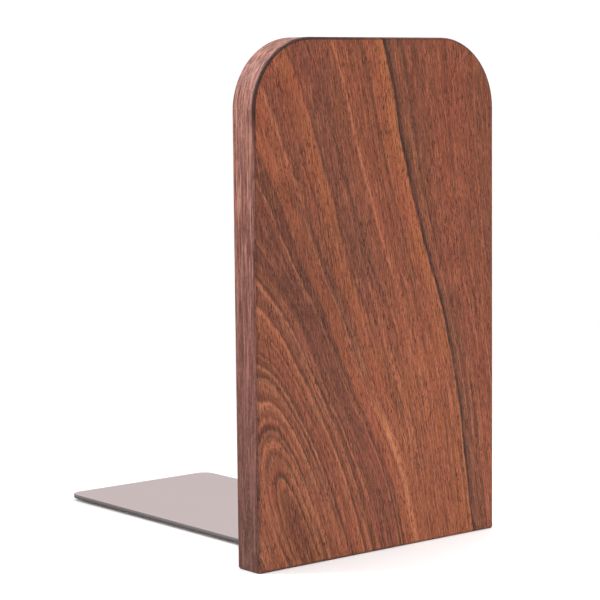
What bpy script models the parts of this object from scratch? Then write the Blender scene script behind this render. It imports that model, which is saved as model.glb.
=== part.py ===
"""A book end: an upright walnut board with a folded sheet-steel bracket let into its back.

Run it with   blender --background --python part.py   or from Blender's text editor.
Units are metres, +Z is up. The board's show face looks along -Y and the steel base runs out along +Y,
under the books. The origin is the middle of the whole footprint, on the shelf.
"""

import math

import bmesh
import bpy
from mathutils import Matrix, Vector

# ---------------------------------------------------------------- driving dimensions

# The walnut board.
BOARD_WIDTH = 0.110
BOARD_HEIGHT = 0.180
BOARD_THICKNESS = 0.012
TOP_CORNER_RADIUS = 0.025
EDGE_RADIUS = 0.0010  # the hand-sanded round along every long edge

# The steel bracket, folded from one sheet: a base under the books and a flange in the board's back.
SHEET_THICKNESS = 0.0015
BRACKET_WIDTH = 0.068
BASE_REACH = 0.138  # from the board's back to the free end of the base
FLANGE_HEIGHT = 0.070  # from the base's underside to the flange's top edge
BEND_INSIDE_RADIUS = 0.0010
BASE_CORNER_RADIUS = 0.0050
FLANGE_CORNER_RADIUS = 0.0060

# The anti-slip dots under the base, which hold it clear of the shelf.
DOT_DIAMETER = 0.010
DOT_THICKNESS = 0.0008
DOT_EDGE_ROUND = 0.0002
DOT_EDGE_DISTANCE = 0.0030  # from the base's edge to the dot's rim

# The countersunk wood screws.
SCREW_CORE_RADIUS = 0.0010
SCREW_THREAD_RADIUS = 0.0015
SCREW_NECK_RADIUS = 0.0013  # the plain neck under the head
SCREW_NECK_LENGTH = 0.0030  # from the head's flat face to the end of the neck
SCREW_POINT_LENGTH = 0.0022
SCREW_HEAD_RIM = 0.00015  # how far the head's sharp edge is taken off
THREAD_PITCH = 0.00135
THREAD_FLANK = 0.00035  # half the thread's width where it grows out of the core
THREAD_ROOT_DEPTH = 0.0002  # how far the ridge reaches into the core, so that the two join
SCREW_EDGE_DISTANCE = 0.0110  # from the flange's edges to the screw's axis
RECESS_WIDTH = 0.0008  # across one arm of the cross recess, at the mouth
RECESS_SPAN = 0.0031  # tip to tip of two opposite arms, at the mouth
RECESS_DEPTH = 0.0009
RECESS_TAPER = 0.45  # the recess's size at its floor, as a share of its mouth

# Clearances between pieces that touch on the real object.
SEAT_GAP = 0.0003  # a face resting on a face
POCKET_CLEARANCE = 0.0004  # between the flange's edge and the wall of its pocket
SCREW_CLEARANCE = 0.0003  # around the screw's thread, neck and head
SCREW_TIP_GAP = 0.0005  # between the screw's point and the end of its hole
FRONT_WALL = 0.0018  # wood left between a screw hole and the show face
DRILL_POINT_HALF_ANGLE = math.radians(59)

# How finely the round shapes are cut.
TOP_CORNER_STEPS = 14
EDGE_STEPS = 4
SMALL_CORNER_STEPS = 6
HOLE_SIDES = 24
SCREW_SIDES = 24
DOT_SIDES = 40
SHARP_ANGLE = math.radians(30)
WELD_DISTANCE = 0.000001  # points closer than this are one point

# ---------------------------------------------------------------- places worked out from them

TOTAL_DEPTH = BOARD_THICKNESS + BASE_REACH
FRONT_Y = -TOTAL_DEPTH / 2
BACK_Y = FRONT_Y + BOARD_THICKNESS
BASE_END_Y = TOTAL_DEPTH / 2

BASE_UNDERSIDE_Z = DOT_THICKNESS + SEAT_GAP
FLANGE_TOP_Z = BASE_UNDERSIDE_Z + FLANGE_HEIGHT
BEND_OUTSIDE_RADIUS = BEND_INSIDE_RADIUS + SHEET_THICKNESS

# The flange's outer face lies level with the board's back.
FLANGE_BACK_Y = BACK_Y
FLANGE_FRONT_Y = FLANGE_BACK_Y - SHEET_THICKNESS
POCKET_FLOOR_Y = FLANGE_FRONT_Y - SEAT_GAP

# A right-angled countersink, as deep as the sheet.
SCREW_HEAD_RADIUS = SCREW_NECK_RADIUS + SHEET_THICKNESS
SCREW_HOLE_END_Y = FRONT_Y + FRONT_WALL
SCREW_LENGTH = FLANGE_BACK_Y - SCREW_HOLE_END_Y - SCREW_TIP_GAP

SCREW_X = BRACKET_WIDTH / 2 - SCREW_EDGE_DISTANCE
SCREW_TOP_Z = FLANGE_TOP_Z - SCREW_EDGE_DISTANCE
SCREW_LOW_Z = BASE_UNDERSIDE_Z + BEND_OUTSIDE_RADIUS + SCREW_EDGE_DISTANCE
SCREW_PLACES = [
    ("screw_top_left", -SCREW_X, SCREW_TOP_Z),
    ("screw_top_right", SCREW_X, SCREW_TOP_Z),
    ("screw_low_left", -SCREW_X, SCREW_LOW_Z),
    ("screw_low_right", SCREW_X, SCREW_LOW_Z),
]

DOT_INSET = DOT_EDGE_DISTANCE + DOT_DIAMETER / 2
DOT_X = BRACKET_WIDTH / 2 - DOT_INSET
DOT_FAR_Y = BASE_END_Y - DOT_INSET
DOT_NEAR_Y = BACK_Y + BEND_OUTSIDE_RADIUS + DOT_INSET
DOT_PLACES = [
    ("dot_near_left", -DOT_X, DOT_NEAR_Y),
    ("dot_near_right", DOT_X, DOT_NEAR_Y),
    ("dot_far_left", -DOT_X, DOT_FAR_Y),
    ("dot_far_right", DOT_X, DOT_FAR_Y),
]


# ---------------------------------------------------------------- small helpers


def material(name, colour, roughness, metallic):
    """A plain Principled material in the part's colour."""
    made = bpy.data.materials.new(name)
    made.use_nodes = True
    shader = made.node_tree.nodes["Principled BSDF"]
    shader.inputs["Base Color"].default_value = (*colour, 1.0)
    shader.inputs["Roughness"].default_value = roughness
    shader.inputs["Metallic"].default_value = metallic
    return made


def add_object(name, mesh, finish=None):
    """Links a mesh into the scene as a named object, smooth where its faces meet gently."""
    obj = bpy.data.objects.new(name, mesh)
    bpy.context.scene.collection.objects.link(obj)
    mesh.shade_smooth()
    mesh.set_sharp_from_angle(angle=SHARP_ANGLE)
    if finish:
        mesh.materials.append(finish)
    return obj


def mesh_from(bm, name):
    """Turns a bmesh into a mesh whose faces point outwards."""
    bmesh.ops.recalc_face_normals(bm, faces=bm.faces)
    mesh = bpy.data.meshes.new(name)
    bm.to_mesh(mesh)
    bm.free()
    return mesh


def box(bm, low, high):
    """Adds a box between two corners and returns its vertices."""
    low, high = Vector(low), Vector(high)
    made = bmesh.ops.create_cube(bm, size=1.0)["verts"]
    bmesh.ops.scale(bm, vec=high - low, verts=made)
    bmesh.ops.translate(bm, vec=(low + high) / 2, verts=made)
    return made


def round_edges(bm, chosen, radius, steps):
    """Rounds the edges for which chosen(end, other_end) is true."""
    edges = [e for e in bm.edges if chosen(*(v.co for v in e.verts))]
    bmesh.ops.bevel(
        bm,
        geom=edges,
        affect="EDGES",
        offset=radius,
        offset_type="OFFSET",
        segments=steps,
        profile=0.5,
        material=-1,
    )


def along(axis, start, end):
    """True if the edge between two points runs along axis 0, 1 or 2."""
    return all(abs(start[k] - end[k]) < 1e-6 for k in range(3) if k != axis)


def turned(bm, profile, sides):
    """Turns a profile of (radius, height) points, from bottom to top, round the Z axis into a closed solid."""
    verts = [bm.verts.new((r, 0, z)) for r, z in profile]
    edges = [bm.edges.new(pair) for pair in zip(verts, verts[1:])]
    bmesh.ops.spin(
        bm,
        geom=verts + edges,
        cent=(0, 0, 0),
        axis=(0, 0, 1),
        angle=math.tau,
        steps=sides,
        use_merge=True,
    )
    bmesh.ops.remove_doubles(bm, verts=bm.verts, dist=WELD_DISTANCE)


def cut(obj, cutter, operation="DIFFERENCE"):
    """Cuts obj with cutter, or joins them, and keeps the cutter out of the render."""
    modifier = obj.modifiers.new(cutter.name, "BOOLEAN")
    modifier.operation = operation
    modifier.object = cutter
    modifier.solver = "EXACT"
    cutter.hide_render = True
    cutter.display_type = "WIRE"


def weld(mesh):
    """Joins the points that a Boolean leaves on top of each other, and drops empty faces."""
    bm = bmesh.new()
    bm.from_mesh(mesh)
    bmesh.ops.remove_doubles(bm, verts=bm.verts, dist=WELD_DISTANCE)
    bmesh.ops.dissolve_degenerate(bm, edges=bm.edges, dist=WELD_DISTANCE)
    bm.to_mesh(mesh)
    bm.free()


def freeze(obj):
    """Carries out obj's modifiers, clears their cutters away and shades the result."""
    bpy.context.view_layer.update()
    graph = bpy.context.evaluated_depsgraph_get()
    rough = obj.data
    obj.data = bpy.data.meshes.new_from_object(obj.evaluated_get(graph))
    for modifier in obj.modifiers:
        if modifier.type == "BOOLEAN":
            bpy.data.objects.remove(modifier.object)
    obj.modifiers.clear()
    bpy.data.meshes.remove(rough)
    obj.data.name = obj.name
    weld(obj.data)
    obj.data.set_sharp_from_angle(angle=SHARP_ANGLE)
    even_shading = obj.modifiers.new("even_shading", "WEIGHTED_NORMAL")
    even_shading.keep_sharp = True


def hole_cutter(name, profile, x, z):
    """A turned cutter whose axis runs along +Y, with its profile's height measured along Y from FLANGE_BACK_Y."""
    bm = bmesh.new()
    turned(bm, profile, HOLE_SIDES)
    cutter = add_object(name, mesh_from(bm, name))
    cutter.matrix_world = screw_placing(x, z)
    return cutter


def screw_placing(x, z):
    """The matrix that lays a piece turned round Z along the board's depth, its top at the flange's face."""
    return Matrix.Translation((x, FLANGE_BACK_Y, z)) @ Matrix.Rotation(-math.pi / 2, 4, "X")


# ---------------------------------------------------------------- the walnut board


def make_board(finish):
    """A slab with rounded top corners and sanded edges, pocketed and drilled at the back."""
    half = BOARD_WIDTH / 2
    bm = bmesh.new()
    box(bm, (-half, FRONT_Y, 0), (half, BACK_Y, BOARD_HEIGHT))
    round_edges(
        bm,
        lambda a, b: along(1, a, b) and a.z > BOARD_HEIGHT / 2,
        TOP_CORNER_RADIUS,
        TOP_CORNER_STEPS,
    )
    board = add_object("board", mesh_from(bm, "board"), finish)

    sanding = board.modifiers.new("sanded_edges", "BEVEL")
    sanding.width = EDGE_RADIUS
    sanding.segments = EDGE_STEPS
    sanding.limit_method = "ANGLE"
    sanding.angle_limit = SHARP_ANGLE

    cut(board, make_pocket_cutter())
    for name, x, z in SCREW_PLACES:
        cut(board, make_screw_hole_cutter(name, x, z))
    freeze(board)


def make_pocket_cutter():
    """The routed pocket for the flange. It runs out through the board's back and foot."""
    half = BRACKET_WIDTH / 2 + POCKET_CLEARANCE
    top = FLANGE_TOP_Z + POCKET_CLEARANCE
    run_out = BOARD_THICKNESS
    bm = bmesh.new()
    box(bm, (-half, POCKET_FLOOR_Y, -run_out), (half, BACK_Y + run_out, top))
    round_edges(
        bm,
        lambda a, b: along(1, a, b) and a.z > 0,
        FLANGE_CORNER_RADIUS + POCKET_CLEARANCE,
        SMALL_CORNER_STEPS,
    )
    return add_object("pocket_cutter", mesh_from(bm, "pocket_cutter"))


def make_screw_hole_cutter(name, x, z):
    """A blind hole from the pocket's floor, a clearance wider than the screw's thread."""
    radius = SCREW_THREAD_RADIUS + SCREW_CLEARANCE
    bottom = SCREW_HOLE_END_Y - FLANGE_BACK_Y
    cone = radius / math.tan(DRILL_POINT_HALF_ANGLE)
    profile = [(0, bottom), (radius, bottom + cone), (radius, 0), (0, 0)]
    return hole_cutter(name + "_hole_cutter", profile, x, z)


# ---------------------------------------------------------------- the steel bracket


def make_bracket(finish):
    """A sheet folded once: the base runs out along +Y, the flange stands in the board's pocket."""
    half = BRACKET_WIDTH / 2
    base_top = BASE_UNDERSIDE_Z + SHEET_THICKNESS
    outline = [
        (FLANGE_FRONT_Y, BASE_UNDERSIDE_Z),
        (BASE_END_Y, BASE_UNDERSIDE_Z),
        (BASE_END_Y, base_top),
        (FLANGE_BACK_Y, base_top),
        (FLANGE_BACK_Y, FLANGE_TOP_Z),
        (FLANGE_FRONT_Y, FLANGE_TOP_Z),
    ]
    bm = bmesh.new()
    side = bm.faces.new([bm.verts.new((-half, y, z)) for y, z in outline])
    swept = bmesh.ops.extrude_face_region(bm, geom=[side], use_keep_orig=True)["geom"]
    moved = [v for v in swept if isinstance(v, bmesh.types.BMVert)]
    bmesh.ops.translate(bm, vec=(BRACKET_WIDTH, 0, 0), verts=moved)
    bmesh.ops.recalc_face_normals(bm, faces=bm.faces)

    def at(y, z):
        return lambda a, b: along(0, a, b) and abs(a.y - y) < 1e-6 and abs(a.z - z) < 1e-6

    round_edges(bm, at(FLANGE_FRONT_Y, BASE_UNDERSIDE_Z), BEND_OUTSIDE_RADIUS, SMALL_CORNER_STEPS)
    round_edges(bm, at(FLANGE_BACK_Y, base_top), BEND_INSIDE_RADIUS, SMALL_CORNER_STEPS)
    round_edges(
        bm,
        lambda a, b: along(2, a, b) and a.y > BASE_END_Y - SHEET_THICKNESS,
        BASE_CORNER_RADIUS,
        SMALL_CORNER_STEPS,
    )
    round_edges(
        bm,
        lambda a, b: along(1, a, b) and min(a.z, b.z) > FLANGE_TOP_Z - SHEET_THICKNESS,
        FLANGE_CORNER_RADIUS,
        SMALL_CORNER_STEPS,
    )
    bracket = add_object("bracket", mesh_from(bm, "bracket"), finish)
    for name, x, z in SCREW_PLACES:
        cut(bracket, make_countersink_cutter(name, x, z))
    freeze(bracket)


def make_countersink_cutter(name, x, z):
    """A right-angled countersink through the sheet, a clearance wider than the screw's head and neck."""
    neck = SCREW_NECK_RADIUS + SCREW_CLEARANCE
    mouth = SCREW_HEAD_RADIUS + SCREW_CLEARANCE
    run_out = SHEET_THICKNESS
    profile = [
        (0, -SHEET_THICKNESS - run_out),
        (neck, -SHEET_THICKNESS - run_out),
        (neck, -SHEET_THICKNESS),
        (mouth, 0),
        (mouth + run_out, run_out),
        (0, run_out),
    ]
    return hole_cutter(name + "_sink_cutter", profile, x, z)


# ---------------------------------------------------------------- the screws


def make_screw(finish):
    """A countersunk wood screw on the Z axis, head up, its flat top at the origin."""
    bm = bmesh.new()
    turned(bm, screw_profile(), SCREW_SIDES)
    screw = add_object("screw", mesh_from(bm, "screw"), finish)
    cut(screw, make_thread(), "UNION")
    for arm in make_recess_arms():
        cut(screw, arm)
    freeze(screw)
    return screw


def screw_profile():
    """The screw's half outline without its thread, from the point up to the head."""
    shoulder = SCREW_NECK_RADIUS - SCREW_CORE_RADIUS
    head_radius = SCREW_HEAD_RADIUS - SCREW_HEAD_RIM
    return [
        (0, -SCREW_LENGTH),
        (SCREW_CORE_RADIUS, -SCREW_LENGTH + SCREW_POINT_LENGTH),
        (SCREW_CORE_RADIUS, -SCREW_NECK_LENGTH - shoulder),
        (SCREW_NECK_RADIUS, -SCREW_NECK_LENGTH),
        (SCREW_NECK_RADIUS, -SHEET_THICKNESS),
        (head_radius, -SCREW_HEAD_RIM),
        (head_radius, 0),
        (0, 0),
    ]


def make_thread():
    """A triangular ridge wound round the core by a spin that climbs as it turns."""
    bottom = -SCREW_LENGTH + SCREW_POINT_LENGTH
    top = -SCREW_NECK_LENGTH - THREAD_PITCH / 2
    turns = (top - bottom) / THREAD_PITCH
    steps = round(turns * SCREW_SIDES)
    root = SCREW_CORE_RADIUS - THREAD_ROOT_DEPTH
    bm = bmesh.new()
    corners = [
        (root, bottom - THREAD_FLANK),
        (SCREW_THREAD_RADIUS, bottom),
        (root, bottom + THREAD_FLANK),
    ]
    start = bm.faces.new([bm.verts.new((r, 0, z)) for r, z in corners])
    bmesh.ops.spin(
        bm,
        geom=[start, *start.edges, *start.verts],
        cent=(0, 0, 0),
        axis=(0, 0, 1),
        dvec=(0, 0, (top - bottom) / steps),
        angle=math.tau * turns,
        steps=steps,
    )
    return add_object("thread_ridge", mesh_from(bm, "thread_ridge"))


def make_recess_arms():
    """The two crossed cutters of the driving recess, which narrow towards its floor."""
    arms = []
    for number, (width, span) in enumerate([(RECESS_SPAN, RECESS_WIDTH), (RECESS_WIDTH, RECESS_SPAN)]):
        bm = bmesh.new()
        low = (-width / 2, -span / 2, -RECESS_DEPTH)
        high = (width / 2, span / 2, RECESS_DEPTH)
        for vert in box(bm, low, high):
            share = RECESS_TAPER if vert.co.z < 0 else 2 - RECESS_TAPER
            vert.co.x *= share
            vert.co.y *= share
        name = f"recess_arm_{number}"
        arms.append(add_object(name, mesh_from(bm, name)))
    return arms


def make_screws(finish):
    """Four screws that share one mesh, each driven through the flange into the board."""
    pattern = make_screw(finish)
    for name, x, z in SCREW_PLACES:
        screw = pattern.copy()
        screw.name = name
        bpy.context.scene.collection.objects.link(screw)
        screw.matrix_world = screw_placing(x, z)
    bpy.data.objects.remove(pattern)


# ---------------------------------------------------------------- the anti-slip dots


def make_dots(finish):
    """Four thin round dots from one mesh, under the corners of the base."""
    radius = DOT_DIAMETER / 2
    bm = bmesh.new()
    turned(
        bm,
        [
            (0, 0),
            (radius - DOT_EDGE_ROUND, 0),
            (radius, DOT_EDGE_ROUND),
            (radius, DOT_THICKNESS),
            (0, DOT_THICKNESS),
        ],
        DOT_SIDES,
    )
    mesh = mesh_from(bm, "dot")
    mesh.materials.append(finish)
    for name, x, y in DOT_PLACES:
        add_object(name, mesh).location = (x, y, 0)


# ---------------------------------------------------------------- the whole book end


def main():
    for obj in list(bpy.data.objects):
        bpy.data.objects.remove(obj, do_unlink=True)
    make_board(material("walnut", (0.21, 0.085, 0.050), 0.55, 0.0))
    make_bracket(material("satin_steel", (0.56, 0.50, 0.50), 0.32, 1.0))
    make_screws(material("zinc_steel", (0.62, 0.62, 0.60), 0.30, 1.0))
    make_dots(material("dark_rubber", (0.035, 0.033, 0.032), 0.85, 0.0))
    bpy.context.view_layer.update()


main()
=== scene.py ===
# %% [markdown]
# # A walnut book end with a steel base
#
# A book end is a board that stands at the end of a row of books. This one is a slab of
# American walnut, and a thin steel sheet folded once: one leg is let into the board's back and
# screwed there, and the other runs out under the books, whose weight holds the board up.
#
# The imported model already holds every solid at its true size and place. Here each piece gets
# its fine surface: eased edges, real screws, and above all a wood whose grain runs through it.

# %% Load the frame
import math
from types import SimpleNamespace

import bmesh
import bpy
from mathutils import Matrix, Vector


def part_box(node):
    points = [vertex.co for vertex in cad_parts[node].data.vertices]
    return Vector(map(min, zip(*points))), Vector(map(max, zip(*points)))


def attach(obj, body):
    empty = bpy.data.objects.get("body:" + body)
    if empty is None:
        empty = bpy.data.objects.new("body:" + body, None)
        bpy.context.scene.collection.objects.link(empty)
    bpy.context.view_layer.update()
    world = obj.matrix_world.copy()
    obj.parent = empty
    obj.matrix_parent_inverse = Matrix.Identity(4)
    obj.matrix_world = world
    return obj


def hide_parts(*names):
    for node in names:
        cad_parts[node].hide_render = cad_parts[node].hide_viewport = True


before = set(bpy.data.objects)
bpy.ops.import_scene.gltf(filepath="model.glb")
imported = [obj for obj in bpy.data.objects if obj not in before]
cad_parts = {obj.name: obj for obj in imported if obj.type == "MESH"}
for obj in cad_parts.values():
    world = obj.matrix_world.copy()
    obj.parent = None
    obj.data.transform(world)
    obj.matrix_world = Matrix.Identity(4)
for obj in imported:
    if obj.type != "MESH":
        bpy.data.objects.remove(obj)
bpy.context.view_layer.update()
MM = 0.001

board_low, board_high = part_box("board")
bracket_low, bracket_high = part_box("bracket")
board_middle = (board_low + board_high) / 2
print("board", [round(v / MM, 1) for v in board_high - board_low], "mm")
print("bracket", [round(v / MM, 1) for v in bracket_high - bracket_low], "mm")

# %% [markdown]
# ## The camera
#
# The view is from the left of the show face and a little above the shelf, through a long lens, so
# the board's edges stay nearly parallel. A camera looks along its own -Z, so it is turned in three
# steps: round the object, down towards the shelf, and a touch of roll. It is then backed away
# from a point beside the board's middle.

# %% Place the camera
VIEW_TURN = math.radians(39.05)
VIEW_DROP = math.radians(6.11)
VIEW_ROLL = math.radians(-0.59)
VIEW_DISTANCE = 727 * MM
AIM_RIGHT = -24.2 * MM
AIM_UP = -1.5 * MM
LENS = 124.2
SENSOR = 36

turn = (
    Matrix.Rotation(-VIEW_TURN, 3, "Z")
    @ Matrix.Rotation(math.pi / 2 - VIEW_DROP, 3, "X")
    @ Matrix.Rotation(VIEW_ROLL, 3, "Z")
)
camera_data = bpy.data.cameras.new("camera")
camera_data.lens = LENS
camera_data.sensor_width = SENSOR
camera = bpy.data.objects.new("camera", camera_data)
bpy.context.scene.collection.objects.link(camera)
camera.rotation_euler = turn.to_euler()
camera.location = board_middle + turn @ Vector((AIM_RIGHT, AIM_UP, VIEW_DISTANCE))
bpy.context.scene.camera = camera
print("camera at", [round(v, 3) for v in camera.location])

# %% [markdown]
# ## Helpers for meshes
#
# Every piece starts as a bmesh, Blender's editable mesh. These helpers make a box and a turned
# shape, round chosen edges, and turn the result into an object. The last step marks an edge as
# sharp where its faces meet at more than 30 degrees and shades the rest smooth. A Weighted Normal
# modifier then keeps the big flat faces flat right up to their rounded edges.
#
# A Boolean often leaves two points in one place, and faces of no area between them. They can't be
# seen, but they leave the surface open, so `weld` joins them again after every cut.

# %% Mesh helpers
SHARP = math.radians(30)
WELD = 0.001 * MM
CORNER_STEPS = 32
SMALL_STEPS = 16
FOLD_STEPS = 12
EASED_STEPS = 6


def box_between(bm, low, high):
    low, high = Vector(low), Vector(high)
    verts = bmesh.ops.create_cube(bm, size=1)["verts"]
    bmesh.ops.scale(bm, vec=high - low, verts=verts)
    bmesh.ops.translate(bm, vec=(low + high) / 2, verts=verts)


def round_edges(bm, edges, radius, segments):
    bmesh.ops.bevel(
        bm,
        geom=edges,
        affect="EDGES",
        offset=radius,
        offset_type="OFFSET",
        segments=segments,
        profile=0.5,
        material=-1,
    )


def edges_where(bm, test):
    """The edges for which test(one end, other end) holds."""
    return [e for e in bm.edges if test(e.verts[0].co, e.verts[1].co)]


def runs_along(axis, a, b):
    return all(abs(a[k] - b[k]) < WELD for k in range(3) if k != axis)


def turned(bm, profile, sides):
    """Spins (radius, height) points round Z. The first and last lie on the axis."""
    verts = [bm.verts.new((radius, 0, height)) for radius, height in profile]
    edges = [bm.edges.new(pair) for pair in zip(verts, verts[1:])]
    bmesh.ops.spin(
        bm,
        geom=verts + edges,
        cent=(0, 0, 0),
        axis=(0, 0, 1),
        angle=math.tau,
        steps=sides,
        use_merge=True,
    )
    bmesh.ops.remove_doubles(bm, verts=bm.verts, dist=WELD)


def mesh_from(bm, name):
    bmesh.ops.recalc_face_normals(bm, faces=bm.faces)
    mesh = bpy.data.meshes.new(name)
    bm.to_mesh(mesh)
    bm.free()
    return mesh


def shown(name, mesh):
    """Links a mesh as an object, smooth but for its sharp edges."""
    piece = bpy.data.objects.new(name, mesh)
    bpy.context.scene.collection.objects.link(piece)
    mesh.shade_smooth()
    mesh.set_sharp_from_angle(angle=SHARP)
    return piece


def keep_flat(piece):
    weighted = piece.modifiers.new("flat faces stay flat", "WEIGHTED_NORMAL")
    weighted.keep_sharp = True


def weld(mesh):
    """Joins the points that a Boolean leaves on top of each other, and drops empty faces."""
    bm = bmesh.new()
    bm.from_mesh(mesh)
    bmesh.ops.remove_doubles(bm, verts=bm.verts, dist=WELD)
    bmesh.ops.dissolve_degenerate(bm, edges=bm.edges, dist=WELD)
    bm.to_mesh(mesh)
    bm.free()


def carve(piece, cutters, operation="DIFFERENCE"):
    """Cuts or joins with Booleans, writes the result into the mesh and drops the cutters."""
    for cutter in cutters:
        modifier = piece.modifiers.new(cutter.name, "BOOLEAN")
        modifier.operation = operation
        modifier.object = cutter
        modifier.solver = "EXACT"
    bpy.context.view_layer.update()
    graph = bpy.context.evaluated_depsgraph_get()
    done = bpy.data.meshes.new_from_object(piece.evaluated_get(graph))
    piece.modifiers.clear()
    piece.data = done
    weld(done)
    done.set_sharp_from_angle(angle=SHARP)
    for cutter in cutters:
        bpy.data.objects.remove(cutter)


def report(piece):
    """Prints how many faces a mesh has, and the edges that don't lie between exactly two."""
    bm = bmesh.new()
    bm.from_mesh(piece.data)
    open_edges = sum(not edge.is_manifold for edge in bm.edges)
    print(f"{piece.name}: {len(bm.faces)} faces, {open_edges} open edges")
    bm.free()


print("an edge is sharp from", round(math.degrees(SHARP)), "degrees")

# %% [markdown]
# ## The screws' places
#
# The screws are standard ones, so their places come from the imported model: the middle of each
# screw's box, and the board's back, with which the heads lie flush.

# %% Where the screws sit
SCREWS = ["screw_top_left", "screw_top_right", "screw_low_left", "screw_low_right"]
back_y = board_high.y


def screw_spot(name):
    """Lays a piece turned round Z along the board's depth, head outwards."""
    low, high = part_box(name)
    spot = Matrix.Translation(((low.x + high.x) / 2, back_y, (low.z + high.z) / 2))
    return spot @ Matrix.Rotation(-math.pi / 2, 4, "X")


for name in SCREWS:
    print(name, [round(v / MM, 1) for v in screw_spot(name).translation], "mm")

# %% [markdown]
# ## The board
#
# A joiner saws the slab, rounds the two top corners on a band saw, and eases every edge with
# sandpaper. The same steps make the mesh: a box, a wide bevel on two edges, and a small bevel round
# both faces. The router's pocket for the steel and the screws' pilot holes are then cut away.

# %% Make the board
CORNER_RADIUS = 25 * MM
EASED_EDGE = 1.0 * MM
SHEET = 1.5 * MM
SEAT_GAP = 0.3 * MM
POCKET_GAP = 0.4 * MM
POCKET_CORNER = 6.4 * MM
PILOT_RADIUS = 1.8 * MM
FRONT_WALL = 1.8 * MM
PILOT_SIDES = 32


def board_blank():
    bm = bmesh.new()
    box_between(bm, board_low, board_high)
    top = edges_where(bm, lambda a, b: runs_along(1, a, b) and a.z > board_middle.z)
    round_edges(bm, top, CORNER_RADIUS, CORNER_STEPS)
    outer = [e for e in bm.edges if e.calc_face_angle() > SHARP]
    round_edges(bm, outer, EASED_EDGE, EASED_STEPS)
    return shown("walnut_board", mesh_from(bm, "walnut_board"))


def pocket_cutter():
    floor_y = back_y - SHEET - SEAT_GAP
    low = (bracket_low.x - POCKET_GAP, floor_y, board_low.z - SHEET)
    high = (bracket_high.x + POCKET_GAP, back_y + SHEET, bracket_high.z + POCKET_GAP)
    bm = bmesh.new()
    box_between(bm, low, high)
    top = edges_where(bm, lambda a, b: runs_along(1, a, b) and a.z > board_middle.z / 2)
    round_edges(bm, top, POCKET_CORNER, FOLD_STEPS)
    return shown("pocket", mesh_from(bm, "pocket"))


def pilot_cutter(name):
    bottom = board_low.y + FRONT_WALL - back_y
    profile = [(0, bottom), (PILOT_RADIUS, bottom + PILOT_RADIUS / 2), (PILOT_RADIUS, 0), (0, 0)]
    bm = bmesh.new()
    turned(bm, profile, PILOT_SIDES)
    bm.transform(screw_spot(name))
    return shown(name + "_pilot", mesh_from(bm, "pilot"))


board = board_blank()
carve(board, [pocket_cutter()] + [pilot_cutter(name) for name in SCREWS])
keep_flat(board)
report(board)

# %% [markdown]
# ## The steel bracket
#
# Sheet metal is cut flat, drilled, and folded on a brake, so its thickness is the same everywhere
# and the outside of the fold is rounder than the inside. Here the folded outline is drawn once
# from the side and extruded across. The fold and the free corners are rounded, and a hair's
# breadth of bevel stands for the deburred edge, which is what catches the light on thin steel.

# %% Make the bracket
BEND_INSIDE = 1.0 * MM
BASE_CORNER = 5.0 * MM
FLANGE_CORNER = 6.0 * MM
DEBURR = 0.22 * MM
SINK_NECK = 1.6 * MM
SINK_SIDES = 48


def side_outline(bm):
    """The fold seen from the side, as one face."""
    y_in, y_out, y_end = back_y, back_y - SHEET, bracket_high.y
    z_low, z_high = bracket_low.z, bracket_high.z
    corners = [
        (y_out, z_low),
        (y_end, z_low),
        (y_end, z_low + SHEET),
        (y_in, z_low + SHEET),
        (y_in, z_high),
        (y_out, z_high),
    ]
    return bm.faces.new([bm.verts.new((bracket_low.x, y, z)) for y, z in corners])


def along_fold(y, z):
    return lambda a, b: runs_along(0, a, b) and abs(a.y - y) < WELD and abs(a.z - z) < WELD


def bracket_blank():
    bm = bmesh.new()
    face = side_outline(bm)
    swept = bmesh.ops.extrude_face_region(bm, geom=[face], use_keep_orig=True)["geom"]
    verts = [v for v in swept if isinstance(v, bmesh.types.BMVert)]
    bmesh.ops.translate(bm, vec=(bracket_high.x - bracket_low.x, 0, 0), verts=verts)
    bmesh.ops.recalc_face_normals(bm, faces=bm.faces)

    outside = edges_where(bm, along_fold(back_y - SHEET, bracket_low.z))
    round_edges(bm, outside, BEND_INSIDE + SHEET, FOLD_STEPS)
    inside = edges_where(bm, along_fold(back_y, bracket_low.z + SHEET))
    round_edges(bm, inside, BEND_INSIDE, FOLD_STEPS)
    free = edges_where(bm, lambda a, b: runs_along(2, a, b) and a.y > bracket_high.y - SHEET)
    round_edges(bm, free, BASE_CORNER, SMALL_STEPS)
    upper = edges_where(
        bm, lambda a, b: runs_along(1, a, b) and min(a.z, b.z) > bracket_high.z - SHEET
    )
    round_edges(bm, upper, FLANGE_CORNER, SMALL_STEPS)
    rims = [e for e in bm.edges if e.calc_face_angle() > 2 * SHARP]
    round_edges(bm, rims, DEBURR, 3)
    return shown("steel_bracket", mesh_from(bm, "steel_bracket"))


def sink_cutter(name):
    """A right-angled countersink through the sheet."""
    mouth = SINK_NECK + SHEET
    profile = [
        (0, -2 * SHEET),
        (SINK_NECK, -2 * SHEET),
        (SINK_NECK, -SHEET),
        (mouth, 0),
        (mouth + SHEET, SHEET),
        (0, SHEET),
    ]
    bm = bmesh.new()
    turned(bm, profile, SINK_SIDES)
    bm.transform(screw_spot(name))
    return shown(name + "_sink", mesh_from(bm, "sink"))


bracket = bracket_blank()
carve(bracket, [sink_cutter(name) for name in SCREWS])
keep_flat(bracket)
report(bracket)

# %% [markdown]
# ## The screws
#
# A countersunk wood screw is a turned shape with two additions. The thread is a small triangle
# spun round the core while it climbs, which bmesh's spin does when it is given a step along the
# axis. The cross recess is two tapered bars taken out of the head. One mesh is made and copied.

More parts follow.
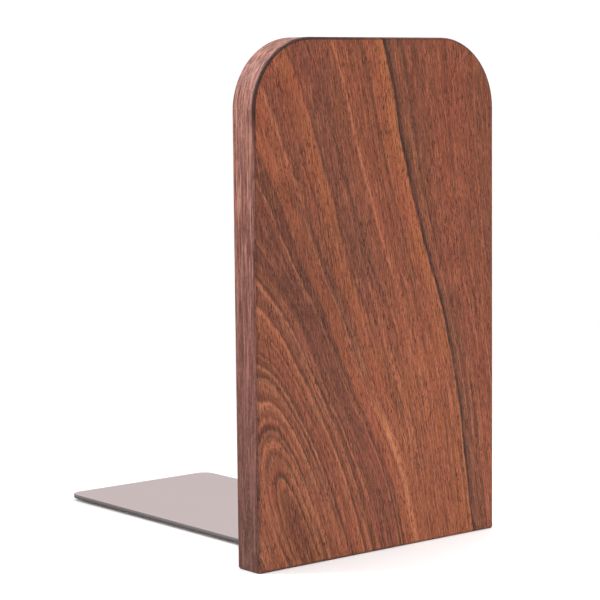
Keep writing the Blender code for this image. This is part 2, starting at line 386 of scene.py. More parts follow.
# %% Make the screws
CORE, THREAD, NECK = 1.0 * MM, 1.5 * MM, 1.3 * MM
SCREW_LENGTH = 9.7 * MM
NECK_END = 3.0 * MM
POINT = 2.2 * MM
PITCH = 1.35 * MM
THREAD_FLANK = 0.35 * MM
THREAD_ROOT = 0.2 * MM
HEAD_RIM = 0.15 * MM
RECESS_DEPTH = 0.9 * MM
RECESS_ARM = 0.8 * MM
RECESS_SPAN = 3.1 * MM
RECESS_TAPER = 0.45
SCREW_SIDES = 48


def screw_body():
    head = NECK + SHEET - HEAD_RIM
    ease = HEAD_RIM / 2
    profile = [
        (0, -SCREW_LENGTH),
        (CORE, -SCREW_LENGTH + POINT),
        (CORE, -NECK_END - (NECK - CORE)),
        (NECK, -NECK_END),
        (NECK, -SHEET),
        (head, -HEAD_RIM),
        (head, -ease),
        (head - ease, 0),
        (0, 0),
    ]
    bm = bmesh.new()
    turned(bm, profile, SCREW_SIDES)
    return shown("screw", mesh_from(bm, "screw"))


def thread_ridge():
    flank, root = THREAD_FLANK, CORE - THREAD_ROOT
    bottom, top = -SCREW_LENGTH + POINT, -NECK_END - PITCH / 2
    turns = (top - bottom) / PITCH
    steps = round(turns * SCREW_SIDES)
    corners = [(root, bottom - flank), (THREAD, bottom), (root, bottom + flank)]
    bm = bmesh.new()
    start = bm.faces.new([bm.verts.new((r, 0, z)) for r, z in corners])
    bmesh.ops.spin(
        bm,
        geom=[start, *start.edges, *start.verts],
        cent=(0, 0, 0),
        axis=(0, 0, 1),
        dvec=(0, 0, (top - bottom) / steps),
        angle=math.tau * turns,
        steps=steps,
    )
    return shown("thread", mesh_from(bm, "thread"))


def recess_arm(width, span):
    bm = bmesh.new()
    box_between(bm, (-width / 2, -span / 2, -RECESS_DEPTH), (width / 2, span / 2, RECESS_DEPTH))
    for vert in bm.verts:
        share = RECESS_TAPER if vert.co.z < 0 else 2 - RECESS_TAPER
        vert.co.xy *= share
    return shown("recess", mesh_from(bm, "recess"))


pattern = screw_body()
carve(pattern, [thread_ridge()], "UNION")
carve(pattern, [recess_arm(RECESS_ARM, RECESS_SPAN), recess_arm(RECESS_SPAN, RECESS_ARM)])
screws = {}
for name in SCREWS:
    mesh = pattern.data.copy()
    mesh.transform(screw_spot(name))
    screws[name] = bpy.data.objects.new("wood_" + name, mesh)
    bpy.context.scene.collection.objects.link(screws[name])
bpy.data.objects.remove(pattern)
report(screws[SCREWS[0]])

# %% [markdown]
# ## The anti-slip dots
#
# Four rubber dots are glued under the base. Each is a low disc with a rounded rim and a face
# that swells very slightly, so a short outline is turned round the Z axis. The glue film that the
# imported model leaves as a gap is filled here, so the dots touch the steel.

# %% Make the dots
DOTS = ["dot_near_left", "dot_near_right", "dot_far_left", "dot_far_right"]
DOT_RIM = 0.3 * MM
DOT_RIM_ANGLES = (-80, -60, -40, -20, 0)
SWELL_HALFWAY = 0.01 * MM
SWELL_AT_RIM = 0.03 * MM
DOT_SIDES = 64


def make_dot(name):
    low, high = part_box(name)
    radius = (high.x - low.x) / 2
    top = bracket_low.z
    profile = [(0, 0), (radius / 2, SWELL_HALFWAY)]
    for angle in map(math.radians, DOT_RIM_ANGLES):
        out = radius - DOT_RIM + DOT_RIM * math.cos(angle)
        up = SWELL_AT_RIM + DOT_RIM + DOT_RIM * math.sin(angle)
        profile.append((out, up))
    profile += [(radius, top), (0, top)]
    bm = bmesh.new()
    turned(bm, profile, DOT_SIDES)
    bmesh.ops.translate(bm, vec=((low.x + high.x) / 2, (low.y + high.y) / 2, 0), verts=bm.verts)
    return shown("rubber_" + name, mesh_from(bm, "rubber_" + name))


dots = {name: make_dot(name) for name in DOTS}
report(dots[DOTS[0]])

# %% [markdown]
# ## Helpers for finishes
#
# Node trees are easier to read as sums. `Wire` wraps an output socket so that `1 - mask` or
# `a * 0.3 + b` adds the Math nodes by itself. `Finish` holds one material. Its `node` method adds
# any other node: its settings first, then the values or wires of its inputs.

# %% Shader helpers
class Wire:
    """A node's output that takes part in arithmetic."""

    def __init__(self, socket):
        self.socket = socket

    def math(self, operation, *values):
        node = self.socket.id_data.nodes.new("ShaderNodeMath")
        node.operation = operation
        for slot, value in zip(node.inputs, values):
            plug(slot, value)
        return Wire(node.outputs[0])

    def __add__(self, other):
        return self.math("ADD", self, other)

    def __sub__(self, other):
        return self.math("SUBTRACT", self, other)

    def __rsub__(self, other):
        return self.math("SUBTRACT", other, self)

    def __mul__(self, other):
        return self.math("MULTIPLY", self, other)

    def __truediv__(self, other):
        return self.math("DIVIDE", self, other)

    def __pow__(self, other):
        return self.math("POWER", self, other)

    __radd__ = __add__
    __rmul__ = __mul__

    def absolute(self):
        return self.math("ABSOLUTE", self)

    def root(self):
        return self.math("SQRT", self)

    def least(self, floor):
        return self.math("MAXIMUM", self, floor)

    def most(self, ceiling):
        return self.math("MINIMUM", self, ceiling)


def plug(slot, value):
    if isinstance(value, Wire):
        slot.id_data.links.new(value.socket, slot)
    elif isinstance(value, tuple) and slot.type == "RGBA":
        slot.default_value = (*value, 1.0)
    else:
        slot.default_value = value


def paint(red, green, blue):
    """A colour as screens write it, from 0 to 255, made linear for the shader."""
    shares = [value / 255 for value in (red, green, blue)]
    return tuple(s / 12.92 if s <= 0.04045 else ((s + 0.055) / 1.055) ** 2.4 for s in shares)


class Finish:
    """One material and the nodes that make it."""

    def __init__(self, name):
        self.material = bpy.data.materials.new(name)
        self.material.use_nodes = True
        self.tree = self.material.node_tree
        self.shader = self.tree.nodes["Principled BSDF"]

    def node(self, kind, settings=None, inputs=None, output=0):
        made = self.tree.nodes.new("ShaderNode" + kind)
        for name, value in (settings or {}).items():
            if name == "stops":
                set_stops(made.color_ramp, value)
            elif name == "curve":
                set_curve(made.mapping, value)
            else:
                setattr(made, name, value)
        for slot, value in (inputs or {}).items():
            plug(made.inputs[slot], value)
        return Wire(made.outputs[output])

    def place(self, scale=(1, 1, 1), shift=(0, 0, 0)):
        """The piece's own coordinates in millimetres, then scaled and shifted."""
        spot = self.node("TexCoord", output=3)
        inputs = {"Vector": spot, "Scale": (1 / MM,) * 3}
        in_mm = self.node("Mapping", {}, inputs)
        inputs = {"Vector": in_mm, "Location": shift, "Scale": scale}
        return self.node("Mapping", {}, inputs)

    def noise(self, vector, detail=2.0, rough=0.5):
        inputs = {"Vector": vector, "Scale": 1.0, "Detail": detail, "Roughness": rough}
        return self.node("TexNoise", {"normalize": True}, inputs)

    def axes(self, vector):
        """The three numbers of a vector."""
        return [self.node("SeparateXYZ", {}, {"Vector": vector}, axis) for axis in range(3)]

    def spread(self, value, low, high, to_low=0.0, to_high=1.0, smooth=True):
        kind = "SMOOTHSTEP" if smooth else "LINEAR"
        inputs = {0: value, 1: low, 2: high, 3: to_low, 4: to_high}
        return self.node("MapRange", {"interpolation_type": kind}, inputs)

    def mix(self, share, one, other, how="MIX"):
        settings = {"data_type": "RGBA", "blend_type": how}
        return self.node("Mix", settings, {0: share, 6: one, 7: other}, output=2)

    def bump(self, height, strength, depth):
        inputs = {"Height": height, "Strength": strength, "Distance": depth}
        return self.node("Bump", {}, inputs)

    def set(self, **values):
        for name, value in values.items():
            plug(self.shader.inputs[name.replace("_", " ")], value)


def set_stops(ramp, stops):
    while len(ramp.elements) > 1:
        ramp.elements.remove(ramp.elements[-1])
    ramp.elements[0].position = stops[0][0]
    ramp.elements[0].color = (*stops[0][1], 1)
    for position, colour in stops[1:]:
        ramp.elements.new(position).color = (*colour, 1)


def set_curve(mapping, points):
    curve = mapping.curves[0]
    curve.points[0].location = points[0]
    curve.points[1].location = points[-1]
    for point in points[1:-1]:
        curve.points.new(*point)
    mapping.update()


print("half grey on a screen is", round(paint(128, 128, 128)[0], 3), "to the shader")

# %% [markdown]
# ## Walnut: where the growth rings run
#
# A tree's rings are nested cones, and a board is a slice through them. Where the slice lies
# nearly along the rings, they show as the tall arches that joiners call cathedrals. So the
# rings are worked out in space, as a distance from a leaning heart line, and the board is simply
# cut from them: the figure then turns over the edges by itself.
#
# This board has one strong feature, a dark vein that wanders from the middle of the top edge
# to the right of the foot. A curve of listed points gives its course. All other rings are measured
# from it: to its left they lean over more and more, until they close into arches at the lower
# left, and to its right they straighten towards the edge. A second pair of curves adds the sway
# that the middle rings have above and below the board's waist.

# %% Ring distance through the wood
BOARD_TALL = (board_high.z - board_low.z) / MM
VEIN_FOOT = 46.0
VEIN_TRAVEL = 43.4
VEIN_COURSE = [(0, 0), (0.12, 0.08), (0.28, 0.175), (0.42, 0.31), (0.49, 0.39), (0.56, 0.5)]
VEIN_COURSE += [(0.67, 0.65), (0.79, 0.785), (0.92, 0.9), (1, 1)]
HEART_X = -33.7
HEART_Z = 2.8
HEART_LEAN = 0.249
LEAN_GROWTH = 1.39
ARCH = 0.10
ARCH_GROWTH = 5.0
DEPTH_DRIFT = 2.5
VEIN_RING = VEIN_FOOT - HEART_X
SWAY = 9.0
SWAY_UP = [(0, 0.97), (0.11, 0.99), (0.155, 0.88), (0.195, 0.74), (0.23, 0.57), (0.265, 0.43)]
SWAY_UP += [(0.305, 0.21), (0.36, 0.12), (0.44, 0.11), (0.53, 0.145), (0.61, 0.255), (0.72, 0.5)]
SWAY_UP += [(0.83, 0.63), (0.92, 0.72), (1, 0.77)]
SWAY_ACROSS = [(0, 0.1), (0.1, 0.23), (0.18, 0.36), (0.28, 0.45), (0.34, 0.82), (0.4, 0.95)]
SWAY_ACROSS += [(0.47, 1), (0.5, 0.92), (0.53, 0.6), (0.57, 0.27), (0.62, 0.07), (0.68, 0), (1, 0)]


def ring_distance(finish, x, depth, z):
    """How far each point lies from the heart, in millimetres of ring."""
    height = z / BOARD_TALL
    course = finish.node("FloatCurve", {"curve": VEIN_COURSE}, {"Value": height})
    lag = course * VEIN_TRAVEL
    beyond = (x + lag - VEIN_FOOT).least(0)
    follow = finish.spread(beyond, 0, 50, 1, 0.35, smooth=False)
    across = x + lag * follow + depth * DEPTH_DRIFT
    near = ((VEIN_FOOT - across) / VEIN_RING).least(0.0001)
    up = z - HEART_Z
    sideways = across - HEART_X + up * HEART_LEAN * near**LEAN_GROWTH
    steep = up * ARCH * near.most(1.6) ** ARCH_GROWTH
    ring = (sideways * sideways + steep * steep).root()
    sway = finish.node("FloatCurve", {"curve": SWAY_UP}, {"Value": height})
    share = finish.node("FloatCurve", {"curve": SWAY_ACROSS}, {"Value": ring / 100})
    return ring - (sway - 0.5) * share * SWAY


print("the vein runs", round(VEIN_RING, 1), "mm from the heart line")

# %% [markdown]
# ## Walnut: colour
#
# No two years are alike: honey, copper, russet and umber follow each other, and most years end
# in a thin dark line of late wood with a bright one beside it. Three colour ramps over the
# ring distance paint them, each for a third of the way, because one ramp has room for only
# 32 stops. Every stop says at what distance, in millimetres, a colour is reached.
#
# The sawn sides are pinker and duller than the face. Their colour is partly the wood's own and
# partly painted light: a pink sheen, painted shade at the foot and painted light towards the top.
# The ramp below gives that colour, from 0 at the foot to 1 at the top.

# %% The years' colours
GOLD = paint(169, 95, 54)
HONEY = paint(157, 85, 51)
COPPER = paint(148, 76, 46)
SALMON = paint(160, 85, 59)
RUSSET = paint(136, 69, 44)
BRICK = paint(129, 63, 39)
COCOA = paint(123, 64, 42)
PLUM = paint(114, 60, 44)
UMBER = paint(100, 51, 33)
MOSS = paint(108, 66, 43)
BARK = paint(73, 37, 23)
INK = paint(32, 18, 15)
PALE = paint(183, 111, 77)
RED = paint(143, 63, 44)
ROSE = paint(164, 89, 69)
PORE = paint(58, 22, 11)
# Pink for the side streaks: partly the wood's pink, partly painted sheen.
PINK_AND_PAINTED_SHEEN = paint(190, 134, 120)
# Side colour: the wood's own tone, with painted shade at the foot and painted light and sheen above.
SIDE_TONES_AND_PAINTED_LIGHT = [
    (0, paint(50, 31, 33)),
    (0.08, paint(56, 34, 36)),
    (0.3, paint(95, 58, 56)),
    (0.5, paint(114, 69, 64)),
    (0.68, paint(124, 78, 71)),
    (0.84, paint(142, 98, 90)),
    (0.92, paint(132, 92, 85)),
]

THIRD = 37.5
INNER_YEARS = [
    (0, UMBER),
    (1.6, COCOA),
    (3.3, HONEY),
    (3.9, PALE),
    (4.3, BARK),
    (5.2, HONEY),
    (6.0, PALE),
    (6.4, MOSS),
    (7.2, COPPER),
    (8.7, PALE),
    (9.1, UMBER),
    (10.2, COPPER),
    (12.6, PALE),
    (13.0, UMBER),
    (14.0, COPPER),
    (15.3, PALE),
    (15.8, BARK),
    (16.3, COPPER),
    (16.7, PALE),
    (17.2, UMBER),
    (18.4, RUSSET),
    (19.6, SALMON),
    (22.5, COPPER),
    (23.8, PALE),
    (24.2, UMBER),
    (25.2, RUSSET),
    (27.2, PALE),
    (27.6, UMBER),
    (29.0, COCOA),
    (29.4, SALMON),
    (30.0, PLUM),
]
MIDDLE_YEARS = [
    (37.2, COCOA),
    (37.6, PALE),
    (38.0, BARK),
    (39.0, UMBER),
    (39.6, PLUM),
    (40.0, BARK),
    (40.5, COPPER),
    (43.5, COPPER),
    (44.6, RUSSET),
    (45.0, PALE),
    (45.5, UMBER),
    (47.5, COCOA),
    (48.3, RUSSET),
    (48.6, UMBER),
    (49.0, COPPER),
    (50.5, HONEY),
    (52.7, HONEY),
    (53.2, BARK),
    (53.8, PLUM),
    (57.5, PLUM),
    (58.0, BARK),
    (58.5, PLUM),
    (61.0, COCOA),
    (63.3, RUSSET),
    (63.7, PALE),
    (64.2, COPPER),
    (65.5, RUSSET),
    (68.5, BRICK),
    (69.0, UMBER),
    (69.5, RUSSET),
    (71.5, UMBER),
    (72.0, COPPER),
]
OUTER_YEARS = [
    (75.0, COPPER),
    (75.6, GOLD),
    (77.6, GOLD),
    (78.4, GOLD),
    (78.7, BARK),
    (78.9, INK),
    (79.7, INK),
    (80.1, MOSS),
    (81.2, MOSS),
    (81.5, HONEY),
    (81.9, MOSS),
    (82.6, MOSS),
    (82.9, BARK),
    (83.3, COCOA),
    (85.5, COCOA),
    (87.2, RUSSET),
    (87.7, SALMON),
    (88.2, BRICK),
    (90.2, COPPER),
    (91.5, BRICK),
    (92.2, UMBER),
    (92.6, COPPER),
    (95.0, RUSSET),
    (98.3, BRICK),
    (98.7, HONEY),
    (99.3, COCOA),
    (104.0, BRICK),
    (105.6, UMBER),
    (106.0, COPPER),
    (110.0, RUSSET),
]


def paint_years(finish, ring):
    """The three ramps, one after the other along the ring distance."""
    colour = None
    for start, years in ((0, INNER_YEARS), (THIRD, MIDDLE_YEARS), (2 * THIRD, OUTER_YEARS)):
        stops = [((distance - start) / THIRD, tone) for distance, tone in years]
        inputs = {"Fac": (ring - start) / THIRD}
        ramp = finish.node("ValToRGB", {"stops": stops}, inputs)
        if colour is None:
            colour = ramp
        else:
            colour = finish.mix(ring.math("GREATER_THAN", ring, start), colour, ramp)
    return colour


print(len(INNER_YEARS + MIDDLE_YEARS + OUTER_YEARS), "stops in three ramps")

# %% [markdown]
# ## Walnut: pores
#
# Walnut is full of open vessels. On a face that runs along the grain they show as dark
# dashes a few tenths of a millimetre wide and several millimetres long. A Voronoi texture squeezed
# across the grain and stretched along it gives each cell one such dash, and a slow noise
# thins them out in patches. They also dent the surface, so they feed the bump as well.

# %% Pores and outline
FIBRE_LEAN = 0.16


def squeeze(finish, vector, across, along, offset=(0, 0, 0)):
    """Packs a texture tight across the grain and draws it out along it."""
    inputs = {"Vector": vector, "Location": offset, "Scale": (across, across, along)}
    return finish.node("Mapping", {}, inputs)


def pores(finish, fibre, across, along, width, share, offset):
    """Dashes: one in each cell, kept in only some of the cells."""
    squeezed = squeeze(finish, fibre, across, along, offset)
    inputs = {"Vector": squeezed, "Scale": 1.0}
    cells = finish.node("TexVoronoi", {"feature": "F1"}, inputs)
    pick = finish.node("TexVoronoi", {"feature": "F1"}, inputs, output=1)
    chance = finish.node("SeparateColor", {}, {"Color": pick})
    kept = finish.spread(chance, 1 - share, 1 - share + 0.05)
    return finish.spread(cells, width, width * 0.45) * kept


def from_corner(x, along, half, end, radius):
    """How far a point lies out from the middle of the nearer rounded corner."""
    out = (x.absolute() - (half - radius)).least(0)
    up = (along - (end - radius)).least(0)
    return (out * out + up * up).root()


def inset_from_outline(x, z):
    """How far inside the board's outline a point lies, seen from the show side."""
    half = (board_high.x - board_low.x) / MM / 2
    radius = CORNER_RADIUS / MM
    return (radius - from_corner(x, z, half, BOARD_TALL, radius)).most(z)


print("the fibres lean", round(math.degrees(math.atan(FIBRE_LEAN)), 1), "degrees")

# %% [markdown]
# ## Walnut: the measures that all layers share
#
# Each layer of colour asks the same things of a point: how high it is, at what ring it lies, and
# what the fibres do there. They are worked out once and kept together under one name, `wood`.
# `fuzz`, `silk` and `locks` are noises stretched along the fibres, from fine to coarse. The last
# two are added to the ring distance and fray the years' borders. `restless` is lower over the
# arches at the lower left, so that they stay readable.

# %% Shared measures
def measure_wood(finish):
    wood = SimpleNamespace()
    spot = finish.place(shift=(0, -board_low.y / MM, 0))
    wood.x, wood.depth, wood.z = finish.axes(spot)
    lean = wood.x + wood.z * FIBRE_LEAN
    wood.fibre = finish.node("CombineXYZ", {}, {"X": lean, "Y": wood.depth, "Z": wood.z})
    wood.silk = finish.noise(squeeze(finish, wood.fibre, 2.5, 0.09), 4, 0.65)
    wood.fuzz = finish.noise(squeeze(finish, wood.fibre, 4.5, 0.4, (2, 8, 4)), 2, 0.6)
    locks = finish.noise(squeeze(finish, wood.fibre, 0.9, 0.05, (5, 3, 1)), 3, 0.6)
    ripple = finish.noise(finish.place((0.16, 0.16, 0.07)), 3, 0.6)

    distance = ring_distance(finish, wood.x, wood.depth, wood.z)
    wood.ring = distance + (ripple - 0.5) * 1.3
    arches = finish.spread(wood.ring, 50, 34) * finish.spread(wood.z, 145, 105)
    wood.restless = 1 - arches * 0.3
    wood.ragged = wood.ring + ((wood.silk - 0.5) * 0.7 + (locks - 0.5) * 0.8) * wood.restless
    wood.steady = wood.ring + (wood.silk - 0.5) * 1.2

    inputs = {"X": wood.ragged, "Y": wood.depth, "Z": wood.z}
    wood.flow = finish.node("CombineXYZ", {}, inputs)
    wood.strands = finish.noise(squeeze(finish, wood.flow, 0.75, 0.022), 3, 0.65)

    wood.inset = inset_from_outline(wood.x, wood.z)
    wood.side = finish.spread(wood.inset, 0.5, 0.05)
    # The sides' colour, with painted shade at the foot and painted light towards the top.
    side_tone_and_light_stops = {"stops": SIDE_TONES_AND_PAINTED_LIGHT}
    wood.edge_tone = finish.node("ValToRGB", side_tone_and_light_stops, {"Fac": wood.z / BOARD_TALL})
    return wood


finish = Finish("oiled_walnut")
wood = measure_wood(finish)
print("shared measures:", ", ".join(vars(wood)))

# %% [markdown]
# ## Walnut: years, strands and threads
#
# The painted years come first. Between two of them, low on the board, the wood is calm, and fine
# strands of brown and gold take over there. A slow noise reddens patches. Then long strands of a
# greener or pinker brown follow the rings, with light and dark threads where a noise crosses
# one value. A bright blaze beside the arches and a few darker strands finish this layer. Heights
# and ring distances are in millimetres.

# %% Years, strands and threads
STRAND_TONES = [(0.3, BRICK), (0.4, COPPER), (0.5, HONEY), (0.57, GOLD), (0.66, COPPER), (0.8, COCOA)]
BLAZE = paint(206, 128, 84)


def lay_years(finish, wood):
    colour = paint_years(finish, wood.ragged)
    low = finish.spread(wood.z, 105, 45)
    calm = low * finish.spread(wood.ring, 45, 54) * finish.spread(wood.ring, 77, 74.5)
    woven = finish.node("ValToRGB", {"stops": STRAND_TONES}, {"Fac": wood.strands})
    colour = finish.mix(calm * 0.85, colour, woven)
    blush = finish.noise(finish.place((0.06, 0.06, 0.03), (1, 9, 5)), 2, 0.5)
    return finish.mix(finish.spread(blush, 0.48, 0.7, 0, 0.35), colour, RED)


def lay_threads(finish, wood, colour):
    tinge = finish.noise(squeeze(finish, wood.flow, 0.9, 0.03, (6, 2, 3)), 3, 0.6)
    colour = finish.mix(finish.spread(tinge, 0.52, 0.68, 0, 0.45), colour, MOSS)
    colour = finish.mix(finish.spread(tinge, 0.48, 0.34, 0, 0.45), colour, ROSE)
    thread = finish.noise(squeeze(finish, wood.flow, 0.34, 0.008, (0, 4, 9)), 2, 0.5)
    light_thread = finish.spread((thread - 0.5).absolute(), 0.035, 0.0)
    dark_thread = finish.spread((thread - 0.56).absolute(), 0.045, 0.0)
    lower_light = finish.spread(wood.z, 130, 50, 0.15, 0.5)
    lower_dark = finish.spread(wood.z, 130, 50, 0.2, 0.55)
    colour = finish.mix(light_thread * lower_light, colour, PALE)
    colour = finish.mix(dark_thread * lower_dark, colour, BARK)
    blaze = finish.spread(wood.steady, 44.4, 45.6) * finish.spread(wood.steady, 45.8, 49.0, 1, 0)
    colour = finish.mix(blaze * finish.spread(wood.z, 64, 40) * 0.75, colour, BLAZE)
    return finish.mix(finish.spread(wood.strands, 0.5, 0.68, 0, 0.35), colour, UMBER)


colour = lay_threads(finish, wood, lay_years(finish, wood))
print(len(finish.tree.nodes), "nodes so far")

# %% [markdown]
# ## Walnut: sides, shade and fibres
#
# The sides are tinted with their own tone, which carries painted shade at the foot and painted
# light and sheen towards the top. The upper left corner and the wood beyond the vein are darker,
# which a multiplied grey does without changing the figure. The two finest noises then draw single
# fibres, dark where they are high and pale where they are low.

# %% Sides, shade and fibres
SHADE = (0.62, 0.64, 0.66)


def lay_shade(finish, wood, colour):
    # Side tone with painted shade at the foot and painted light towards the top.
    colour = finish.mix(wood.side * 0.55, colour, wood.edge_tone)
    corner = finish.spread(wood.x, 5, -32) * finish.spread(wood.z, 150, 105)
    corner = corner * finish.spread(wood.strands, 0.36, 0.6, 0.25, 1)
    beyond_vein = finish.spread(wood.ring, 80, 85) * finish.spread(wood.z, 25, 65, 0, 0.3)
    return finish.mix(corner + beyond_vein, colour, SHADE, how="MULTIPLY")


def lay_fibres(finish, wood, colour):
    for noise, low, high, share, tone in (
        (wood.silk, 0.49, 0.62, 0.65, BARK),
        (wood.silk, 0.48, 0.36, 0.5, PALE),
        (wood.fuzz, 0.5, 0.66, 0.45, BARK),
        (wood.fuzz, 0.5, 0.34, 0.3, PALE),
    ):
        amount = finish.spread(noise, low, high, 0, share) * wood.restless
        colour = finish.mix(amount, colour, tone)
    return colour


colour = lay_fibres(finish, wood, lay_shade(finish, wood, colour))
print(len(finish.tree.nodes), "nodes so far")

# %% [markdown]
# ## Walnut: pores, streaked sides, painted edge shade and dark lines
#
# Two sizes of pore lie over the figure. The sawn sides get their tone once more, with its painted
# shade at the foot and painted light towards the top, and coarse streaks, dark and pink, stronger
# towards the top; the pink ones are partly the wood's pink and partly painted sheen. The rounded
# edge between the face and the side gets painted shade, most of all near the top. The vein and a
# weaker twin beside it go on last, so nothing dulls them. The pores and fibres also dent the
# surface, and roughen it a little.

# %% Pores, streaked sides, painted edge shade and dark lines
PORE_DEPTH = 0.05 * MM


def lay_pores(finish, wood, colour):
    long_pores = pores(finish, wood.fibre, 1.6, 0.28, 0.36, 0.85, (3, 1, 7))
    short_pores = pores(finish, wood.fibre, 2.7, 0.7, 0.38, 0.7, (11, 5, 2))
    patches = finish.noise(finish.place((0.12, 0.12, 0.04)), 2, 0.5)
    wood.open_pores = (long_pores + short_pores).most(1)
    wood.open_pores = wood.open_pores * finish.spread(patches, 0.3, 0.62, 0.5, 1)
    return finish.mix(wood.open_pores * 0.85, colour, PORE)


def lay_sides(finish, wood, colour):
    # The side tone again, with its painted shade and painted light.
    colour = finish.mix(wood.side * 0.4, colour, wood.edge_tone)
    streak = finish.noise(finish.place((0.3, 1.5, 0.07), (4, 1, 3)), 4, 0.75)
    # Coarse side streaks, stronger towards the top; the pink ones are partly painted sheen.
    side_streak_share = wood.side * finish.spread(wood.z, 40, 120, 0.35, 1)
    colour = finish.mix(side_streak_share * finish.spread(streak, 0.5, 0.61, 0, 0.92), colour, BARK)
    colour = finish.mix(side_streak_share * finish.spread(streak, 0.5, 0.39, 0, 0.55), colour, PINK_AND_PAINTED_SHEEN)
    # Painted shade along the rounded edge between face and side, strongest near the top.
    painted_edge_shade = finish.spread(wood.inset + wood.depth, 1.1, 0.8)
    painted_edge_shade = painted_edge_shade * finish.spread(wood.z, 138, 156, 0.25, 0.85)
    painted_edge_shade = painted_edge_shade * finish.spread(wood.x, 15, -30, 0.5, 1)
    return finish.mix(painted_edge_shade, colour, INK)


def lay_vein(finish, wood, colour):
    vein = finish.spread(wood.steady, 78.3, 78.9) * finish.spread(wood.steady, 79.2, 80.5, 1, 0)
    colour = finish.mix(vein * finish.spread(wood.z, 20, 110, 0.3, 0.62), colour, INK)
    twin = finish.spread(wood.steady, 82.3, 82.7) * finish.spread(wood.steady, 82.8, 83.3, 1, 0)
    return finish.mix(twin * finish.spread(wood.z, 70, 120, 0, 0.35), colour, INK)


colour = lay_pores(finish, wood, colour)
colour = lay_vein(finish, wood, lay_sides(finish, wood, colour))
grain = wood.silk * 0.25 - wood.open_pores
finish.set(
    Base_Color=colour,
    Roughness=finish.spread(wood.silk, 0.2, 0.8, 0.5, 0.62) + wood.open_pores * 0.2,
    Normal=finish.bump(grain, 0.5, PORE_DEPTH),
)
finish.set(IOR=1.48, Specular_IOR_Level=0.27)
walnut = finish.material
print(walnut.name, len(finish.tree.nodes), "nodes")

# %% [markdown]
# ## Satin steel
#
# The sheet has a fine satin finish: it mirrors the room only as a soft glow. Real satin steel
# is full of hair-thin lines left by the abrasive belt, all running one way. A noise stretched
# hard along the sheet gives them, and feeds a faint bump and a little change of roughness. The
# sheared edge of the sheet is duller and darker than its faces, and towards the shelf it is
# darker still with painted shadow.

# %% Steel, zinc and rubber
STEEL_TINT = (0.57, 0.505, 0.50)
GLANCING_TINT = (0.80, 0.715, 0.725)
SHEARED_HIGH = (0.20, 0.18, 0.182)
# The edge's colour where painted shadow darkens it, next to the shelf.
SHEARED_IN_PAINTED_SHADOW = (0.06, 0.053, 0.054)


def rim_of_base(finish, x, y):
    """One on the cut edge of the base, nought on the rolled face."""
    radius = BASE_CORNER / MM
    half = (bracket_high.x - bracket_low.x) / MM / 2
    reach = from_corner(x, y, half, bracket_high.y / MM, radius)
    return finish.spread(reach, radius - 0.25, radius - 0.1)


def make_satin_steel():
    finish = Finish("satin_steel")
    hair = finish.noise(finish.place((9, 0.08, 0.08)), 4, 0.7)
    cloud = finish.noise(finish.place((0.03, 0.02, 0.03)), 3, 0.5)
    tint = finish.mix(cloud * 0.35, STEEL_TINT, (0.52, 0.455, 0.455))
    x, y, z = finish.axes(finish.place())
    rim = rim_of_base(finish, x, y)
    # Painted shadow: the sheared edge darkens towards the shelf.
    clear_of_painted_shadow = finish.spread(z, bracket_low.z / MM, bracket_low.z / MM + 1.3)
    edge_and_painted_shadow = finish.mix(clear_of_painted_shadow, SHEARED_IN_PAINTED_SHADOW, SHEARED_HIGH)
    face = finish.mix(hair * 0.12, tint, (0.75, 0.68, 0.67))
    finish.set(
        Base_Color=finish.mix(rim * 0.95, face, edge_and_painted_shadow),
        Metallic=1.0,
        Roughness=finish.spread(hair, 0.2, 0.8, 0.30, 0.40) + (cloud - 0.5) * 0.06 + rim * 0.2,
        Normal=finish.bump(hair, 0.12, 0.02 * MM),
    )
    finish.set(Specular_Tint=GLANCING_TINT)
    return finish.material


def make_zinc():
    finish = Finish("zinc_plated_steel")
    bloom = finish.noise(finish.place((2.5, 2.5, 2.5)), 3, 0.6)
    finish.set(
        Base_Color=finish.mix(bloom, (0.55, 0.56, 0.57), (0.74, 0.74, 0.72)),
        Metallic=1.0,
        Roughness=finish.spread(bloom, 0.3, 0.7, 0.24, 0.38),
        Normal=finish.bump(bloom, 0.1, 0.01 * MM),
    )
    return finish.material


def make_rubber():
    finish = Finish("dark_rubber")
    crumb = finish.noise(finish.place((6, 6, 6)), 4, 0.7)
    finish.set(
        Base_Color=finish.mix(crumb, (0.018, 0.017, 0.017), (0.045, 0.043, 0.042)),
        Roughness=finish.spread(crumb, 0.3, 0.7, 0.78, 0.92),
        Normal=finish.bump(crumb, 0.3, 0.03 * MM),
    )
    return finish.material


steel, zinc, rubber = make_satin_steel(), make_zinc(), make_rubber()
for material in (steel, zinc, rubber):
    print(material.name, len(material.node_tree.nodes), "nodes")

# Nothing on a book end moves, so every piece rides on the root.

# %% Give each piece its finish and its place in the model
def fit(piece, material, node):
    piece.data.materials.clear()
    piece.data.materials.append(material)
    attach(piece, "root")
    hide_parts(node)


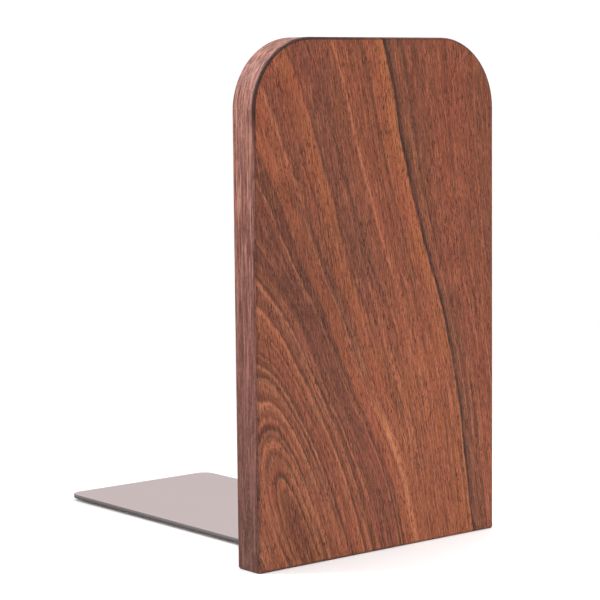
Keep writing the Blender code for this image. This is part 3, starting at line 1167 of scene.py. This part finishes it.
fit(board, walnut, "board")
fit(bracket, steel, "bracket")
for name, screw in screws.items():
    fit(screw, zinc, name)
for name, dot in dots.items():
    fit(dot, rubber, name)
print(2 + len(screws) + len(dots), "pieces fitted")

# %% [markdown]
# ## The studio
#
# A sheet of pale paper lies under the book end. The room is an even white, so the steel has
# something bright to mirror. A round soft lamp high on the left lights the board's edge and the
# steel, and a weak narrow one overhead whitens the paper in front of the foot.

# %% Floor, lamps and sky
FLOOR_SIZE = 30.0
PAPER = (0.955, 0.955, 0.955)
SKY_STRENGTH = 1.07


def make_floor():
    bm = bmesh.new()
    bmesh.ops.create_grid(bm, x_segments=1, y_segments=1, size=FLOOR_SIZE / 2)
    floor = bpy.data.objects.new("floor", mesh_from(bm, "floor"))
    bpy.context.scene.collection.objects.link(floor)
    finish = Finish("pale_paper")
    finish.set(Base_Color=PAPER, Roughness=0.9)
    floor.data.materials.append(finish.material)


def add_lamp(name, place, aim, size, power, spread):
    lamp_data = bpy.data.lights.new(name, "AREA")
    lamp_data.shape = "DISK"
    lamp_data.size = size
    lamp_data.energy = power
    lamp_data.spread = math.radians(spread)
    lamp = bpy.data.objects.new(name, lamp_data)
    bpy.context.scene.collection.objects.link(lamp)
    lamp.location = place
    lamp.rotation_euler = (Vector(aim) - lamp.location).to_track_quat("-Z", "Y").to_euler()


def make_sky(strength):
    world = bpy.data.worlds.new("white room")
    bpy.context.scene.world = world
    world.use_nodes = True
    background = world.node_tree.nodes["Background"]
    background.inputs["Color"].default_value = (1, 1, 1, 1)
    background.inputs["Strength"].default_value = strength


make_floor()
make_sky(SKY_STRENGTH)
add_lamp("high left", (-0.36, 0.24, 0.62), (-0.055, -0.07, 0.24), 0.25, 0.45, 60)
add_lamp("overhead", (0.06, -0.17, 0.8), (0.06, -0.17, 0), 0.12, 0.13, 40)
bpy.context.scene.view_settings.view_transform = "Standard"
print(len(bpy.data.lights), "lamps, and a sky of strength", SKY_STRENGTH)

# %% [markdown]
# ## The sizes
#
# The box round the imported solids was measured right after loading.
